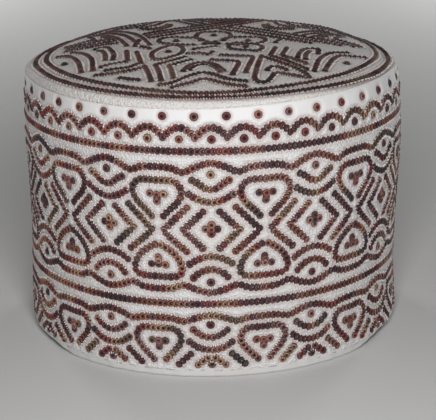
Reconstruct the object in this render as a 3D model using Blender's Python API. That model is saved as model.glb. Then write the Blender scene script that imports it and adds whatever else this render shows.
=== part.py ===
"""Embroidered kumma: a round, stiff cloth cap with an upright band and a low domed crown.

The cap rests on its hem, open side down. The origin is on the surface it rests on, under
the middle of the cap, +Z is up and the side with the best view of the pattern faces -Y.
The stitched ornament is far finer than these walls and isn't modelled here.
"""
import math
from collections import namedtuple

import bmesh
import bpy

# Driving dimensions, in metres
CLOTH = 0.0024              # quilted cotton of the band and the crown
HEM_CLOTH = 0.0030          # the turned-up edge is one ply thicker, on the inside
SEAM_GAP = 0.0003           # clearance between neighbouring pieces
HEM_HEIGHT = 0.0060
SEAM_HEIGHT = 0.1280        # the seam between the band and the crown
KNEE_HEIGHT = 0.1317        # where the rounded shoulder turns into the crown's top
KNEE_RADIUS = 0.0859
DOME_HEIGHT = 0.0060        # the crown's middle above its knee
DOME_POWER = 4.0            # a flat middle that falls off towards the rim
HEM_ROUNDING = 0.0005

# Slow waves that a soft seam takes, as a height or a radius and the azimuth of their crest
SEAM_WAVE = 0.0010
SEAM_WAVE_AZIMUTH = math.radians(66)
KNEE_LOBES = 0.0016
KNEE_LOBES_AZIMUTH = math.radians(60)
KNEE_SHIFT_X = -0.0007
KNEE_SHIFT_Y = -0.0008
BEND_STEEPNESS = 1.6        # above 1, the middle of a bend is level

# Mesh fineness
TURN_STEPS = 72
BAND_ROWS = 12
SHOULDER_ROWS = 3
DOME_ROWS = 5

# Outer form of the band from its edge up: oval widens it across X, sway moves it along X
Level = namedtuple("Level", "height radius oval sway")
BAND_LEVELS = (
    Level(0.000, 0.0898, 0.0008, -0.0008),
    Level(0.012, 0.0898, 0.0004, -0.0012),
    Level(0.030, 0.0896, 0.0000, -0.0013),
    Level(0.054, 0.0896, 0.0000, -0.0005),
    Level(0.080, 0.0907, 0.0000, 0.0001),
    Level(0.094, 0.0913, 0.0000, 0.0001),
    Level(0.110, 0.0908, 0.0003, 0.0000),
    Level(0.120, 0.0902, 0.0005, -0.0001),
    Level(0.129, 0.0891, 0.0004, -0.0009),
)

# Short stretches where the cloth has bent: how far each way from its azimuth, and by how much
Bend = namedtuple("Bend", "azimuth half_width size")
HEM_CURLS = (                                    # the hem curls up off the surface
    Bend(math.radians(-72), math.radians(25), 0.0026),
    Bend(math.radians(74), math.radians(28), 0.0036),
)
RIM_DIPS = (                                     # the crown's rim has sunk behind
    Bend(math.radians(-108), math.radians(38), 0.0018),
    Bend(math.radians(104), math.radians(36), 0.0019),
)

CLOTH_COLOUR = (0.80, 0.77, 0.76, 1.0)
CROWN_COLOUR = (0.74, 0.72, 0.71, 1.0)
HEM_COLOUR = (0.84, 0.82, 0.81, 1.0)
CLOTH_ROUGHNESS = 0.92


def clear_scene():
    for old in list(bpy.data.objects):
        bpy.data.objects.remove(old, do_unlink=True)


def cloth_material(name, colour):
    material = bpy.data.materials.new(name)
    material.use_nodes = True
    shader = material.node_tree.nodes["Principled BSDF"]
    shader.inputs["Base Color"].default_value = colour
    shader.inputs["Roughness"].default_value = CLOTH_ROUGHNESS
    shader.inputs["Metallic"].default_value = 0.0
    return material


def smooth_step(value):
    value = min(max(value, 0.0), 1.0)
    return value * value * (3.0 - 2.0 * value)


def level_at(height):
    """The band's radius, oval and sway at a height, on a smooth curve through the levels."""
    height = min(max(height, BAND_LEVELS[0].height), BAND_LEVELS[-1].height)
    index = 0
    while index < len(BAND_LEVELS) - 2 and height > BAND_LEVELS[index + 1].height:
        index += 1
    below, above = BAND_LEVELS[index], BAND_LEVELS[index + 1]
    before = BAND_LEVELS[max(index - 1, 0)]
    after = BAND_LEVELS[min(index + 2, len(BAND_LEVELS) - 1)]
    span = above.height - below.height
    t = (height - below.height) / span
    values = []
    for column in ("radius", "oval", "sway"):
        start, end = getattr(below, column), getattr(above, column)
        slope_in = (end - getattr(before, column)) / (above.height - before.height) * span
        slope_out = (getattr(after, column) - start) / (after.height - below.height) * span
        values.append((2 * t**3 - 3 * t**2 + 1) * start + (t**3 - 2 * t**2 + t) * slope_in
                      + (3 * t**2 - 2 * t**3) * end + (t**3 - t**2) * slope_out)
    return values


def bend_at(bends, azimuth):
    total = 0.0
    for bend in bends:
        away = abs(math.remainder(azimuth - bend.azimuth, math.tau)) / bend.half_width
        total += bend.size * smooth_step(BEND_STEEPNESS * (1.0 - away))
    return total


def seam_height(azimuth):
    wave = SEAM_WAVE * math.cos(2.0 * (azimuth - SEAM_WAVE_AZIMUTH))
    return SEAM_HEIGHT + wave - bend_at(RIM_DIPS, azimuth)


def band_point(azimuth, height, inset):
    """A point of the band's wall, inset from its outer face. Azimuth 0 faces -Y."""
    radius, oval, sway = level_at(height)
    reach = radius - oval * math.cos(2.0 * azimuth) - inset
    return (sway + reach * math.sin(azimuth), -reach * math.cos(azimuth), height)


def crown_point(azimuth, inset, angle):
    """A point of the crown's shoulder: angle 0 is on the seam, a quarter turn is on the knee."""
    seam = seam_height(azimuth)
    seam_x, seam_y, _ = band_point(azimuth, seam, 0.0)
    knee_radius = KNEE_RADIUS + KNEE_LOBES * math.cos(3.0 * (azimuth - KNEE_LOBES_AZIMUTH))
    knee_x = KNEE_SHIFT_X + knee_radius * math.sin(azimuth)
    knee_y = KNEE_SHIFT_Y - knee_radius * math.cos(azimuth)
    bottom = seam + SEAM_GAP
    top = KNEE_HEIGHT - bend_at(RIM_DIPS, azimuth) - inset
    out, up = math.cos(angle), math.sin(angle)
    x = knee_x + (seam_x - knee_x) * out - inset * out * math.sin(azimuth)
    y = knee_y + (seam_y - knee_y) * out + inset * out * math.cos(azimuth)
    return (x, y, bottom + (top - bottom) * up)


def dome_point(azimuth, inset, share):
    """A point of the crown's top, where share 1 is on the knee and share 0 is the middle."""
    x, y, z = crown_point(azimuth, inset, math.pi / 2)
    middle_x, middle_y = KNEE_SHIFT_X, KNEE_SHIFT_Y
    middle_z = KNEE_HEIGHT + DOME_HEIGHT - inset
    height = middle_z + (z - middle_z) * share ** DOME_POWER
    return (middle_x + (x - middle_x) * share, middle_y + (y - middle_y) * share, height)


def add_loop(mesh, point_at):
    """A closed loop of vertices around the cap, seen from above turning anticlockwise."""
    turns = (math.tau * step / TURN_STEPS for step in range(TURN_STEPS))
    return [mesh.verts.new(point_at(azimuth)) for azimuth in turns]


def bridge(mesh, lower, upper):
    """Faces between two loops; they point away from the axis when the second lies above."""
    for step in range(TURN_STEPS):
        after = (step + 1) % TURN_STEPS
        mesh.faces.new((lower[step], lower[after], upper[after], upper[step]))


def close_middle(mesh, loop, point, faces_up):
    middle = mesh.verts.new(point)
    for step in range(TURN_STEPS):
        after = (step + 1) % TURN_STEPS
        corners = (loop[step], loop[after], middle)
        mesh.faces.new(corners if faces_up else corners[::-1])


def finish_object(mesh, name, material):
    bmesh.ops.recalc_face_normals(mesh, faces=mesh.faces)
    data = bpy.data.meshes.new(name)
    mesh.to_mesh(data)
    mesh.free()
    data.materials.append(material)
    data.shade_smooth()
    data.set_sharp_from_angle(angle=math.radians(50))
    piece = bpy.data.objects.new(name, data)
    bpy.context.collection.objects.link(piece)
    return piece


def close_ring(mesh, loops):
    """Joins loops that go round a wall's section into one closed ring."""
    for index, loop in enumerate(loops):
        bridge(mesh, loop, loops[(index + 1) % len(loops)])


def build_side_band():
    """The upright wall, from the top of the hem to the crown's seam."""
    bottom = HEM_HEIGHT + SEAM_GAP

    def row_point(share, inset):
        def point_at(azimuth):
            height = bottom + (seam_height(azimuth) - bottom) * share
            return band_point(azimuth, height, inset)
        return point_at

    mesh = bmesh.new()
    shares = [row / BAND_ROWS for row in range(BAND_ROWS + 1)]
    outer = [add_loop(mesh, row_point(share, 0.0)) for share in shares]
    inner = [add_loop(mesh, row_point(share, CLOTH)) for share in reversed(shares)]
    close_ring(mesh, outer + inner)
    return finish_object(mesh, "side_band", cloth_material("band_cloth", CLOTH_COLOUR))


def build_hem_fold():
    """The plain turned-up edge that the cap rests on, with its two curled stretches."""
    section = (                                  # inset from the outer face, share of height
        (0.0, 0.0, HEM_ROUNDING),
        (0.0, 1.0, 0.0),
        (HEM_CLOTH, 1.0, 0.0),
        (HEM_CLOTH, 0.0, HEM_ROUNDING),
        (HEM_CLOTH - HEM_ROUNDING, 0.0, 0.0),
        (HEM_ROUNDING, 0.0, 0.0),
    )

    def corner_point(inset, share, above):
        def point_at(azimuth):
            edge = bend_at(HEM_CURLS, azimuth)
            return band_point(azimuth, edge + (HEM_HEIGHT - edge) * share + above, inset)
        return point_at

    mesh = bmesh.new()
    close_ring(mesh, [add_loop(mesh, corner_point(*corner)) for corner in section])
    return finish_object(mesh, "hem_fold", cloth_material("hem_cloth", HEM_COLOUR))


def build_crown_panel():
    """The round top: a shoulder that stands on the band's edge and a low dome."""
    angles = [math.pi / 2 * row / SHOULDER_ROWS for row in range(SHOULDER_ROWS + 1)]
    shares = [1.0 - (row / DOME_ROWS) ** 2 for row in range(1, DOME_ROWS)]
    mesh = bmesh.new()
    skins = []
    for inset in (0.0, CLOTH):
        skin = [add_loop(mesh, lambda turn, a=angle, i=inset: crown_point(turn, i, a))
                for angle in angles]
        skin += [add_loop(mesh, lambda turn, s=share, i=inset: dome_point(turn, i, s))
                 for share in shares]
        for lower, upper in zip(skin, skin[1:]):
            bridge(mesh, lower, upper)
        close_middle(mesh, skin[-1], dome_point(0.0, inset, 0.0), faces_up=inset == 0.0)
        skins.append(skin)
    bridge(mesh, skins[1][0], skins[0][0])
    return finish_object(mesh, "crown_panel", cloth_material("crown_cloth", CROWN_COLOUR))


def main():
    clear_scene()
    build_side_band()
    build_hem_fold()
    build_crown_panel()


main()
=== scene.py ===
"""The looks of an embroidered kumma cap: quilted white cotton under chains of dyed eyelets.

Every length is in metres unless a name says millimetres or degrees. The eyelet pattern is
charted: the band's chart counts degrees round the cap and millimetres above the hem,
and the crown's counts millimetres out from the middle and degrees, or across and back.
"""
import math
from collections import namedtuple

import bpy
import numpy as np
from mathutils import Matrix, Vector


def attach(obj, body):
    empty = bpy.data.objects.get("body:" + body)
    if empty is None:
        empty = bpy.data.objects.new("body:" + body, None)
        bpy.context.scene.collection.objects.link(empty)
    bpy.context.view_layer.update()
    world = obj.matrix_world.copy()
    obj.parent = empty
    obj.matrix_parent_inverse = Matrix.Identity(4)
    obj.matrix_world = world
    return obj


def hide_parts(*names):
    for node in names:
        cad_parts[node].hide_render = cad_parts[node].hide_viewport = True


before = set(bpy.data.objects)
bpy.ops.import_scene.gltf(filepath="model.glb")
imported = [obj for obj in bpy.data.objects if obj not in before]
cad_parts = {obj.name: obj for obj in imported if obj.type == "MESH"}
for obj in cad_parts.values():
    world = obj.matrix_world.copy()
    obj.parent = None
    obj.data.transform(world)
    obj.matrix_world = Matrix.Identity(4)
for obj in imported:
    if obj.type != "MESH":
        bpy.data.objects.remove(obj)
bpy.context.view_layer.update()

MM = 0.001
BODY = "root"

# The cap's form, as the frame's solids have it
CLOTH = 0.0024
HEM_CLOTH = 0.0030
SEAM_GAP = 0.0003
SEAM_HEIGHT = 0.1280
KNEE_HEIGHT = 0.1317
KNEE_RADIUS = 0.0859
DOME_HEIGHT = 0.0060
DOME_POWER = 4.0
SEAM_WAVE = 0.0010
SEAM_WAVE_AZIMUTH = math.radians(66)
KNEE_LOBES = 0.0016
KNEE_LOBES_AZIMUTH = math.radians(60)
KNEE_SHIFT = (-0.0007, -0.0008)
BEND_STEEPNESS = 1.6

Level = namedtuple("Level", "height radius oval sway")
BAND_LEVELS = (
    Level(0.000, 0.0898, 0.0008, -0.0008),
    Level(0.012, 0.0898, 0.0004, -0.0012),
    Level(0.030, 0.0896, 0.0000, -0.0013),
    Level(0.054, 0.0896, 0.0000, -0.0005),
    Level(0.080, 0.0907, 0.0000, 0.0001),
    Level(0.094, 0.0913, 0.0000, 0.0001),
    Level(0.110, 0.0908, 0.0003, 0.0000),
    Level(0.120, 0.0902, 0.0005, -0.0001),
    Level(0.129, 0.0891, 0.0004, -0.0009),
)
Bend = namedtuple("Bend", "azimuth half_width size")
HEM_CURLS = (
    Bend(math.radians(-72), math.radians(25), 0.0026),
    Bend(math.radians(74), math.radians(28), 0.0036),
)
RIM_DIPS = (
    Bend(math.radians(-108), math.radians(38), 0.0018),
    Bend(math.radians(104), math.radians(36), 0.0019),
)

# Edges of the cloth
EDGE_ROLL = 0.0008            # a cut edge rolls in over this height
EDGE_DRAW = 0.00022           # and by this depth
FOOT_DRAW = 0.0005            # the band's foot draws in under the hem
HEM_SHOWN = 0.0046            # the turned-up edge ends just under the lowest eyelets
HEM_LIFT_SHARE = 0.5          # its upper edge follows half of the curl of its fold
HEM_OVERLAP = 0.0014
HEM_PROUD = 0.00015           # it lies over the band's foot
HEM_SOFT_TOP = 0.0008
Ripple = namedtuple("Ripple", "size waves start")
HEM_RIPPLES = (Ripple(0.00010, 47, 0.0), Ripple(0.00008, 83, 1.3))

# Needlework
STITCH_PITCH = 0.00250        # from one eyelet's hole to the next
EYELET_RADIUS = 0.00188
DOT_SCALE = 1.07              # an eyelet that stands alone is worked larger
EYELET_TIP = 0.45             # each eyelet of a line leans over the edge of the next
PUFF_START = 0.00190          # the cloth swells between these distances from a line
PUFF_FULL = 0.00340
TICK_LENGTH = 0.00175         # white stitches fray the edges of every line
TICK_WIDTH = 0.00066
TICK_THICKNESS = 0.45         # of its width, each way
THREAD_SEED = 20
THREAD_REACH = 40             # each line starts somewhere on this length of dyed thread
SPOT_LINE = 0.00006           # a lone eyelet is drawn as a line too short for two
PLAIN_RIM = 0.1225            # the band is plain, without seed stitches, above this height
FILLING_FADE = 0.003          # they grow sparse over this height
ALL_STITCHED = 1.0
ALL_PLAIN = 0.0
FRINGE_SEED = 50              # random draws that must differ start this far apart
TIP_SEED = 7.0
SIZE_SEED = 3.0

# How each panel is worked: its slot, the solid that it replaces and its seed, the cloth's
# swelling between lines, how far the eyelets draw it in, how tall they stand, how far the
# white stitches lean along the line, what share of their full rise they have, and how wide
# the eyelets are
Panel = namedtuple("Panel", "slot node seed puff furrow eyelet_height lean rise width")
BAND = Panel("band_cloth", "side_band", 100, puff=0.00085, furrow=0.00030,
             eyelet_height=1.25, lean=0.15, rise=1.0, width=1.0)
CROWN = Panel("crown_cloth", "crown_panel", 300, puff=0.00035, furrow=0.00005,
              eyelet_height=1.70, lean=0.45, rise=0.5, width=0.86)

# White stitches: their middle's distance from the line, and the heights of both their ends
# above the eyelets' feet
Fringe = namedtuple("Fringe", "offset inner_rise outer_rise")
NOTCH_FRINGE = Fringe(0.00182, 0.00050, 0.00058)
OUTER_FRINGE = Fringe(0.00222, 0.00058, 0.00068)

# Mesh fineness
BAND_COLUMNS = 640
BAND_ROWS = 136
CROWN_COLUMNS = 540
CROWN_ROWS = 84
SHOULDER_ROWS = 8
INNER_ROWS = 6
INNER_SHOULDER_ROWS = 4
HEM_COLUMNS = 480
HEM_ROWS = 6
FOLD_STEPS = 8
SOFT_STEPS = 4
EYELET_SEGMENTS = 10


def tone(red, green, blue):
    """A colour given as it looks on a screen, 0 to 255, in the values that light adds up in."""
    shares = [value / 255 for value in (red, green, blue)]
    return (*(share / 12.92 if share <= 0.04045 else ((share + 0.055) / 1.055) ** 2.4
              for share in shares), 1.0)


COTTON = tone(236, 235, 235)
# Painted shade: band and hem cotton darkens towards this along the stitched lines, and handled
# white stitches also dull towards it
COTTON_SHADE_AND_SOIL = tone(208, 195, 193)
# Painted shade: the crown's cotton is a slightly darker, pinker copy of the band's, and its furrow
# colour a much darker copy
CROWN_COTTON_SHADED = tone(232, 227, 225)
CROWN_FURROW_SHADE = tone(164, 148, 144)
# Painted shade: the hem's cotton is darker than the band's, as its fold curls under away from the
# light
HEM_COTTON_SHADED = tone(216, 214, 212)
WHITE_STITCH = tone(244, 240, 238)
# Painted shade: the crown's white stitches are a duller copy of the band's
CROWN_STITCH_SHADED = tone(224, 214, 210)
HANDLING = tone(204, 196, 184)
# Painted shade: the dark inside each eyelet's hole, laid on the well's floor
HOLE_SHADE = tone(34, 22, 22)
Dye = namedtuple("Dye", "place colour")
THREAD_DYES = (
    Dye(0.00, tone(62, 34, 42)),       # plum black
    Dye(0.22, tone(92, 48, 46)),       # dark brown
    Dye(0.33, tone(132, 78, 60)),      # rust brown
    Dye(0.42, tone(140, 98, 92)),      # dusty pink
    Dye(0.52, tone(66, 36, 44)),       # plum black
    Dye(0.61, tone(126, 58, 54)),      # brick
    Dye(0.71, tone(158, 122, 98)),     # tan
    Dye(0.82, tone(108, 80, 62)),      # olive brown
    Dye(1.00, tone(60, 46, 52)),       # grey black
)

# Light, roughness and relief of the finishes
COTTON_ROUGHNESS = 0.82
YARN_ROUGHENING = 0.12
DULLING = 0.35                # how far handled cloth goes towards its dull colour
GROUND_SHADE = 0.68           # the cloth's lightness between stitches, and what each adds
STITCH_SHADE = 0.40
WEAVE_SHADE = 0.10
YARN_RELIEF = 0.00012
STITCH_RELIEF = 0.0006
WRAP_RELIEF = 0.00012
# Painted shade and light on each eyelet's thread:
PAINTED_FOOT_LIGHT = 0.14             # thread is darkest at an eyelet's foot
PAINTED_CREST_LIGHT = 1.85            # and this much lighter on its crest
NOISE_RANGE = (0.24, 0.76)    # plain noise seldom leaves this range
STRAND_RANGE = (0.2727, 0.7273)
STRANDS_PER_METRE = 2600.0


# The cap's surfaces, worked out for whole arrays of azimuths and heights

def smooth_step(value):
    value = np.clip(value, 0.0, 1.0)
    return value * value * (3.0 - 2.0 * value)


def level_at(height):
    """The band's radius, oval and sway at each height, on a smooth curve through the levels."""
    heights, *columns = np.array(BAND_LEVELS).T
    height = np.clip(height, heights[0], heights[-1])
    below = np.clip(np.searchsorted(heights, height) - 1, 0, len(heights) - 2)
    above = below + 1
    before = np.maximum(below - 1, 0)
    after = np.minimum(below + 2, len(heights) - 1)
    span = heights[above] - heights[below]
    t = (height - heights[below]) / span
    values = []
    for knots in columns:
        start, end = knots[below], knots[above]
        slope_in = (end - knots[before]) / (heights[above] - heights[before]) * span
        slope_out = (knots[after] - start) / (heights[after] - heights[below]) * span
        values.append((2 * t**3 - 3 * t**2 + 1) * start + (t**3 - 2 * t**2 + t) * slope_in
                      + (3 * t**2 - 2 * t**3) * end + (t**3 - t**2) * slope_out)
    return values


def bend_at(bends, azimuth):
    total = np.zeros_like(azimuth)
    for bend in bends:
        turned = np.mod(azimuth - bend.azimuth + math.pi, math.tau) - math.pi
        away = np.abs(turned) / bend.half_width
        total += bend.size * smooth_step(BEND_STEEPNESS * (1.0 - away))
    return total


def seam_height(azimuth):
    wave = SEAM_WAVE * np.cos(2.0 * (azimuth - SEAM_WAVE_AZIMUTH))
    return SEAM_HEIGHT + wave - bend_at(RIM_DIPS, azimuth)


def band_wall(azimuth, height, inset=0.0):
    """Points of the band's wall, inset from its outer face. Azimuth 0 faces -Y."""
    azimuth, height, inset = np.broadcast_arrays(azimuth, height, inset)
    radius, oval, sway = level_at(height)
    reach = radius - oval * np.cos(2.0 * azimuth) - inset
    return np.stack((sway + reach * np.sin(azimuth), -reach * np.cos(azimuth), height), -1)


def knee_radius(azimuth):
    return KNEE_RADIUS + KNEE_LOBES * np.cos(3.0 * (azimuth - KNEE_LOBES_AZIMUTH))


def crown_top(azimuth, share, inset=0.0):
    """Points of the crown: share 0 is its middle, 1 its knee and 2 the seam."""
    azimuth, share, inset = np.broadcast_arrays(azimuth, share, inset)
    seam = seam_height(azimuth)
    edge = band_wall(azimuth, seam)
    radius = knee_radius(azimuth)
    sine, cosine = np.sin(azimuth), np.cos(azimuth)
    knee_x = KNEE_SHIFT[0] + radius * sine
    knee_y = KNEE_SHIFT[1] - radius * cosine
    knee_z = KNEE_HEIGHT - bend_at(RIM_DIPS, azimuth) - inset
    middle_z = KNEE_HEIGHT + DOME_HEIGHT - inset
    flat = np.minimum(share, 1.0)
    turn = np.pi / 2 * (2.0 - np.maximum(share, 1.0))
    out, up = np.cos(turn), np.sin(turn)
    bottom = seam + SEAM_GAP
    on_shoulder = np.stack((knee_x + (edge[..., 0] - knee_x) * out - inset * out * sine,
                            knee_y + (edge[..., 1] - knee_y) * out + inset * out * cosine,
                            bottom + (knee_z - bottom) * up), -1)
    on_top = np.stack((KNEE_SHIFT[0] + radius * sine * flat,
                       KNEE_SHIFT[1] - radius * cosine * flat,
                       middle_z + (knee_z - middle_z) * flat ** DOME_POWER), -1)
    return np.where((share > 1.0)[..., None], on_shoulder, on_top)


def crown_at_plan(x, y):
    """Points of the crown that lie at a place of its plan, seen from above."""
    east, south = x - KNEE_SHIFT[0], KNEE_SHIFT[1] - y
    azimuth = np.arctan2(east, south)
    reach = np.hypot(east, south)
    radius = knee_radius(azimuth)
    edge = band_wall(azimuth, seam_height(azimuth))
    edge_reach = np.hypot(edge[..., 0] - KNEE_SHIFT[0], edge[..., 1] - KNEE_SHIFT[1])
    over = np.clip((reach - radius) / (edge_reach - radius), 0.0, 1.0)
    share = np.where(reach <= radius, reach / radius, 2.0 - np.arccos(over) * 2 / np.pi)
    return crown_top(azimuth, share)


def facing_between(along, across):
    facing = np.cross(along, across)
    return facing / np.linalg.norm(facing, axis=-1, keepdims=True)


def facing_of(point_at, first, second, step=0.0002):
    """The outward direction of a surface, from two small steps along it."""
    return facing_between(point_at(first + step, second) - point_at(first - step, second),
                          point_at(first, second + step) - point_at(first, second - step))


# The chart of the eyelets

Line = namedtuple("Line", "piece points curved closed")
Spot = namedtuple("Spot", "piece points")

BAND_REPEATS = 12
REPEAT_DEGREES = 360 / BAND_REPEATS
HAND_DRIFT = 2.5              # the repeats are wider at the front, as the hand has drawn them
CHART_TURN = -1.0
DOTS_ROUND = 39
DOT_DEGREES = 360 / DOTS_ROUND
DOT_TURN = -0.5
RINGS_MM = (108.5, 36.2)
LOW_DOTS_MM = 113.9
HIGH_DOTS_MM = 124.1
SCALLOP_PEAK_MM = 119.2
SCALLOP_CUSP_MM = 114.7
SCALLOP_ROUNDNESS = 0.9


def mirrored(*halves):
    """Symmetrical lines from their left halves, drawn up to the axis or across it."""
    return [list(half) + [(-across, up) for across, up in reversed(half) if across != 0]
            for half in halves]


def both_sides(*lines):
    return [[(across * side, up) for across, up in line] for line in lines for side in (1, -1)]


# Lines and dots of one repeat: degrees from its axis, and millimetres above the hem
CRESCENTS = mirrored(
    ((-5.0, 95.4), (-3.5, 94.0), (-1.7, 91.8), (0, 91.1)),
    ((-6.0, 88.8), (-4.5, 87.2), (-2.5, 85.7), (0, 84.9)),
    ((-5.9, 55.5), (-3.4, 57.9), (0, 59.1)),
    ((-4.8, 48.9), (-3.0, 51.5), (0, 52.9)),
    ((-4.8, 23.6), (-3.5, 21.9), (-1.8, 20.4), (0, 19.9)),
    ((-6.0, 17.6), (-3.5, 14.9), (0, 13.8)),
)
CHEVRONS = both_sides(
    ((-2.3, 80.5), (-7.8, 71.6), (-2.3, 62.9)),
    ((-6.7, 82.4), (-11.2, 75.0), (-13.3, 71.4), (-11.5, 68.0), (-6.7, 61.2)),
)
HEM_STROKES = both_sides(((-3.9, 6.4), (-1.1, 9.8)), ((-5.9, 11.6), (-9.5, 6.2)))
TRIANGLES = mirrored(
    ((-1.7, 77.9), (-3.2, 80.7), (-5.2, 83.7), (-6.5, 86.8), (-7.0, 90.1), (-6.2, 92.9),
     (-4.5, 94.9), (0, 95.0)),
    ((-0.9, 64.1), (-2.3, 62.9), (-3.9, 61.1), (-5.4, 58.7), (-6.5, 55.6), (-6.9, 52.0),
     (-5.7, 49.5), (-2.9, 48.9), (0, 48.9)),
    ((-1.8, 8.3), (-3.4, 11.0), (-5.1, 14.0), (-6.4, 17.3), (-6.5, 20.1), (-5.5, 22.8),
     (-3.7, 23.9), (0, 23.8)),
)
AXIS_DOTS = ((0, 98.0), (0, 46.7), (0, 26.1), (0, 6.7))
DIAMOND = ((0, 74.3), (-1.6, 72.2), (0, 72.1), (1.6, 72.2), (0, 70.0))
HEARTS = (
    ((-1.9, 88.6), (0.1, 88.2), (2.0, 88.5), (0.1, 86.6), (0, 85.0)),
    ((-2.0, 54.6), (0.1, 54.9), (2.1, 54.6), (0.1, 56.5), (0, 58.1)),
    ((-2.0, 17.6), (0, 17.4), (1.9, 17.6), (0.1, 15.9), (0, 14.4)),
)
Wave = namedtuple("Wave", "axis cusp between cusp_degrees")
WAVES = (
    Wave(103.2, 99.0, 101.2, 7.5),
    Wave(41.7, 45.2, 43.1, 7.5),
    Wave(30.7, 27.7, 29.1, 7.4),
)
WAVE_SHOULDER = 0.62          # how far from its axis a wave still keeps near its crest
WAVE_LEVEL = (0.72, 0.8)      # and where between two axes, and how far, it has levelled out


def on_band(repeat, points):
    """Radians round the cap and metres up it, from places on one repeat of the chart."""
    places = []
    for degrees, up in points:
        turned = repeat * REPEAT_DEGREES + degrees
        drift = HAND_DRIFT * math.sin(math.radians(turned))
        places.append((math.radians(turned + drift + CHART_TURN), up * MM))
    return places


def ring_of(up, steps=72):
    return Line("rim_lines", [(math.tau * step / steps, up * MM) for step in range(steps)],
                curved=False, closed=True)


def scallop_line(steps=8):
    points = []
    for cusp in range(DOTS_ROUND):
        for step in range(steps):
            share = step / steps
            degrees = DOT_TURN + (cusp - 0.5 + share) * DOT_DEGREES
            rise = math.sin(math.pi * share) ** SCALLOP_ROUNDNESS
            up = SCALLOP_CUSP_MM + (SCALLOP_PEAK_MM - SCALLOP_CUSP_MM) * rise
            points.append((math.radians(degrees), up * MM))
    return Line("rim_lines", points, curved=False, closed=True)


def wave_line(wave):
    """One waved line round the cap: a crest on each axis, cusps beside it, level between."""
    half = REPEAT_DEGREES / 2
    crest = wave.cusp + (wave.axis - wave.cusp) * WAVE_SHOULDER
    level_at_degrees = half * WAVE_LEVEL[0]
    level = wave.cusp + (wave.between - wave.cusp) * WAVE_LEVEL[1]
    one = ((-half, wave.between), (-level_at_degrees, level), (-wave.cusp_degrees, wave.cusp),
           (-wave.cusp_degrees * 0.5, crest), (0, wave.axis), (wave.cusp_degrees * 0.5, crest),
           (wave.cusp_degrees, wave.cusp), (level_at_degrees, level))
    points = [point for repeat in range(BAND_REPEATS) for point in on_band(repeat, one)]
    return Line("wave_lines", points, curved=True, closed=True)


def on_repeat(repeat, piece, lines, curved):
    """One kind of line, or of dots where curved is None, on a repeat of the band."""
    if curved is None:
        return [Spot(piece, on_band(repeat, points)) for points in lines]
    return [Line(piece, on_band(repeat, points), curved, closed=False) for points in lines]


def band_chart():
    """Every line and dot of the band, in radians round it and metres above the hem."""
    chart = [ring_of(up) for up in RINGS_MM] + [scallop_line()]
    chart += [wave_line(wave) for wave in WAVES]
    for dot in range(DOTS_ROUND):
        low = math.radians(DOT_TURN + dot * DOT_DEGREES)
        high = math.radians(DOT_TURN + (dot + 0.5) * DOT_DEGREES)
        chart.append(Spot("single_dots", [(low, LOW_DOTS_MM * MM), (high, HIGH_DOTS_MM * MM)]))
    for repeat in range(BAND_REPEATS):
        chart += on_repeat(repeat, "crescents", CRESCENTS, True)
        chart += on_repeat(repeat, "chevrons", CHEVRONS, False)
        chart += on_repeat(repeat, "hem_strokes", HEM_STROKES, False)
        chart += on_repeat(repeat, "axis_dots", (AXIS_DOTS,), None)
        chart += on_repeat(repeat, "small_clusters", (DIAMOND,), None)
        chart += on_repeat(repeat + 0.5, "triangles", TRIANGLES, True)
        chart += on_repeat(repeat + 0.5, "small_clusters", HEARTS, None)
    return chart


CROWN_REPEATS = 5
CROWN_TURN = -4.0
Swing = namedtuple("Swing", "azimuth degrees size_mm")
CROWN_RINGS_MM = (
    (85.2, (Swing(58, 24, 2.4), Swing(-48, 22, 0.8))),
    (80.0, (Swing(-2, 16, 1.6),)),
)
STRAPS_MM = (29.0, 34.5, 40.0)
STRAP_BOW_MM = 20.0           # the straps' ends turn outwards
STRAP_REACH_MM = 71.0
STRAP_BEND_MM = 22.0
STRAP_STEP_MM = 0.5
STRAP_MARGIN_MM = 2.9         # how far the covered strap stops from the one on top
SHORTEST_STRAP = 6            # a run of a strap with fewer steps is left out
FAR_MOTIFS = (140, -148)      # azimuths of the motifs that follow the rule
FAR_BETWEENS = (104, 176, -112)
# Crown lines: degrees from a motif's axis, and millimetres out from the middle
ROOFS = mirrored(
    ((-9.5, 74.0), (-6.2, 70.6), (-3.0, 66.4), (0, 65.2)),
    ((-16.0, 71.2), (-11.0, 67.6), (-5.0, 59.8), (0, 58.0)),
    ((-9.0, 52.4), (-5.5, 47.8), (0, 45.8)),
    ((-8.0, 55.0), (-4.6, 50.6), (0, 48.6)),
)
ROOF_DOT = ((0, 75.2),)
ZIGZAG_ARCH_PETAL = mirrored(
    ((-12.5, 69.4), (-10.4, 73.2), (-5.4, 67.4), (0, 63.4)),
    ((-4.2, 60.4), (-2.6, 56.4), (0, 54.8)),
    ((-40.0, 9.0), (-35.0, 14.0), (-24.0, 20.5), (-13.0, 25.6), (0, 27.0)),
)
PETAL_DOT = ((0, 18.5),)
CENTRE_CLUSTER = ((0, 0.0), (72, 3.4), (144, 3.4), (216, 3.4), (288, 3.4))

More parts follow.
